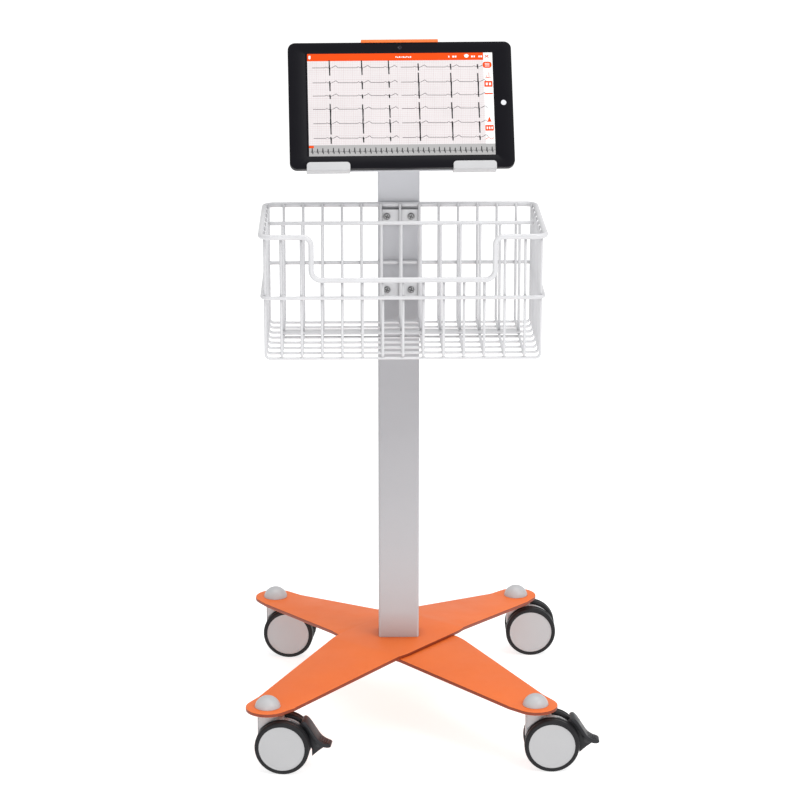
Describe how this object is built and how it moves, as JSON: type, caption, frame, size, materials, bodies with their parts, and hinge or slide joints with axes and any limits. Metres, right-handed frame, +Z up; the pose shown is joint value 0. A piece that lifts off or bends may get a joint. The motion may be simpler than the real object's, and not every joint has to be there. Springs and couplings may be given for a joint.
{
  "type": "ecg machine",
  "caption": "Tablet ECG recorder clamped in a tilting holder on a column stand with a wire basket, crossed plate base and swivelling twin-wheel casters with foot brakes.",
  "frame": {"origin": "on the floor, on the axis of the column", "axes": "+Z up along the column, -Y the side the screen and basket face, +X to the right of a person looking at the screen"},
  "size_m": [0.4828, 0.5127, 0.9685],
  "materials": {
    "orange_powder_coat": "satin fine-texture powder coat",
    "grey_powder_coat": "satin powder coat",
    "zinc_steel": "zinc plated",
    "light_grey_plastic": "fine moulded texture",
    "white_powder_coat": "smooth powder coat on wire",
    "black_glass": "satin black bezel",
    "display": "lit screen under clear glass",
    "lens_glass": "clear lens",
    "black_plastic": "fine texture",
    "battery_wrap": "film wrap",
    "circuit_board": "solder mask",
    "orange_clip": "satin powder coat",
    "black_tyre": "soft matt tread",
    "dark_grey_plastic": "fine moulded texture"
  },
  "bodies": {
    "root": {"base_plate_upper": "orange_powder_coat", "base_plate_lower": "orange_powder_coat", "column": "grey_powder_coat", "column_foot": "zinc_steel", "base_bolts": "zinc_steel", "caster_stems": "zinc_steel", "stem_nuts": "zinc_steel", "stem_caps": "light_grey_plastic", "basket_rim": "white_powder_coat", "basket_back_grid": "white_powder_coat", "basket_front_grid": "white_powder_coat", "basket_front_corner_grids": "white_powder_coat", "basket_left_grid": "white_powder_coat", "basket_right_grid": "white_powder_coat", "basket_floor_grid": "white_powder_coat", "basket_divider": "white_powder_coat", "basket_brackets": "white_powder_coat", "basket_screws": "zinc_steel", "swivel_post": "grey_powder_coat"},
    "yoke": {"tilt_yoke": "grey_powder_coat", "tilt_shaft": "zinc_steel"},
    "head": {"holder_back_plate": "grey_powder_coat", "holder_lips": "light_grey_plastic", "tablet_bezel": "black_glass", "tablet_display": "display", "camera_lens": "lens_glass", "tablet_rear_cover": "black_plastic", "battery": "battery_wrap", "main_board": "circuit_board", "cable_socket": "black_plastic", "charge_socket": "black_plastic"},
    "clip": {"top_clip": "orange_clip"},
    "power": {"power_button": "black_plastic"},
    "volume": {"volume_rocker": "black_plastic"},
    "caster_fl": {"caster_fl_housing": "light_grey_plastic", "caster_fl_axle": "zinc_steel"},
    "wheel_fl_a": {"hub_fl_a": "light_grey_plastic", "tyre_fl_a": "black_tyre"},
    "wheel_fl_b": {"hub_fl_b": "light_grey_plastic", "tyre_fl_b": "black_tyre"},
    "pedal_fl": {"pedal_fl": "dark_grey_plastic"},
    "caster_fr": {"caster_fr_housing": "light_grey_plastic", "caster_fr_axle": "zinc_steel"},
    "wheel_fr_a": {"hub_fr_a": "light_grey_plastic", "tyre_fr_a": "black_tyre"},
    "wheel_fr_b": {"hub_fr_b": "light_grey_plastic", "tyre_fr_b": "black_tyre"},
    "pedal_fr": {"pedal_fr": "dark_grey_plastic"},
    "caster_bl": {"caster_bl_housing": "light_grey_plastic", "caster_bl_axle": "zinc_steel"},
    "wheel_bl_a": {"hub_bl_a": "light_grey_plastic", "tyre_bl_a": "black_tyre"},
    "wheel_bl_b": {"hub_bl_b": "light_grey_plastic", "tyre_bl_b": "black_tyre"},
    "caster_br": {"caster_br_housing": "light_grey_plastic", "caster_br_axle": "zinc_steel"},
    "wheel_br_a": {"hub_br_a": "light_grey_plastic", "tyre_br_a": "black_tyre"},
    "wheel_br_b": {"hub_br_b": "light_grey_plastic", "tyre_br_b": "black_tyre"}
  },
  "joints": [
    {"name": "swivel_fl", "type": "hinge", "parent": "root", "child": "caster_fl", "pos_m": [-0.1825, -0.225, 0.06], "axis": [0, 0, 1], "continuous": true},
    {"name": "roll_fl_a", "type": "hinge", "parent": "caster_fl", "child": "wheel_fl_a", "pos_m": [-0.1628, -0.24505, 0.0375], "axis": [0.1219, 0.9925, 0], "continuous": true},
    {"name": "roll_fl_b", "type": "hinge", "parent": "caster_fl", "child": "wheel_fl_b", "pos_m": [-0.15853, -0.21031, 0.0375], "axis": [0.1219, 0.9925, 0], "continuous": true},
    {"name": "brake_fl", "type": "hinge", "parent": "caster_fl", "child": "pedal_fl", "pos_m": [-0.14478, -0.22963, 0.0535], "axis": [0.1219, 0.9925, 0], "range_deg": [0, 8]},
    {"name": "swivel_fr", "type": "hinge", "parent": "root", "child": "caster_fr", "pos_m": [0.1825, -0.225, 0.06], "axis": [0, 0, 1], "continuous": true},
    {"name": "roll_fr_a", "type": "hinge", "parent": "caster_fr", "child": "wheel_fr_a", "pos_m": [0.20419, -0.24288, 0.0375], "axis": [0.0175, 0.9998, 0], "continuous": true},
    {"name": "roll_fr_b", "type": "hinge", "parent": "caster_fr", "child": "wheel_fr_b", "pos_m": [0.2048, -0.20789, 0.0375], "axis": [0.0175, 0.9998, 0], "continuous": true},
    {"name": "brake_fr", "type": "hinge", "parent": "caster_fr", "child": "pedal_fr", "pos_m": [0.22049, -0.22566, 0.0535], "axis": [0.0175, 0.9998, 0], "range_deg": [0, 8]},
    {"name": "swivel_bl", "type": "hinge", "parent": "root", "child": "caster_bl", "pos_m": [-0.1825, 0.225, 0.06], "axis": [0, 0, 1], "continuous": true},
    {"name": "roll_bl_a", "type": "hinge", "parent": "caster_bl", "child": "wheel_bl_a", "pos_m": [-0.1628, 0.20495, 0.0375], "axis": [0.1219, 0.9925, 0], "continuous": true},
    {"name": "roll_bl_b", "type": "hinge", "parent": "caster_bl", "child": "wheel_bl_b", "pos_m": [-0.15853, 0.23969, 0.0375], "axis": [0.1219, 0.9925, 0], "continuous": true},
    {"name": "swivel_br", "type": "hinge", "parent": "root", "child": "caster_br", "pos_m": [0.1825, 0.225, 0.06], "axis": [0, 0, 1], "continuous": true},
    {"name": "roll_br_a", "type": "hinge", "parent": "caster_br", "child": "wheel_br_a", "pos_m": [0.20419, 0.20712, 0.0375], "axis": [0.0175, 0.9998, 0], "continuous": true},
    {"name": "roll_br_b", "type": "hinge", "parent": "caster_br", "child": "wheel_br_b", "pos_m": [0.2048, 0.24211, 0.0375], "axis": [0.0175, 0.9998, 0], "continuous": true},
    {"name": "head_swivel", "type": "hinge", "parent": "root", "child": "yoke", "pos_m": [0, 0, 0.855], "axis": [0, 0, 1], "range_deg": [-35, 35]},
    {"name": "head_tilt", "type": "hinge", "parent": "yoke", "child": "head", "pos_m": [0.00088, -0.02198, 0.88], "axis": [0.9992, 0.0401, 0], "range_deg": [-25, 20]},
    {"name": "clip_slide", "type": "slide", "parent": "head", "child": "clip", "axis": [-0.0182, 0.4536, 0.891], "range_m": [0, 0.012], "stiffness_N_per_m": 400, "springref_m": -0.015},
    {"name": "power_press", "type": "slide", "parent": "head", "child": "power", "axis": [0.0182, -0.4536, -0.891], "range_m": [0, 0.0006], "stiffness_N_per_m": 1500, "springref_m": -0.0002},
    {"name": "volume_rock", "type": "hinge", "parent": "head", "child": "volume", "pos_m": [0.07859, -0.01307, 0.95863], "axis": [-0.0358, 0.8903, -0.454], "range_deg": [-2, 2], "stiffness_Nm_per_rad": 0.15}
  ]
}
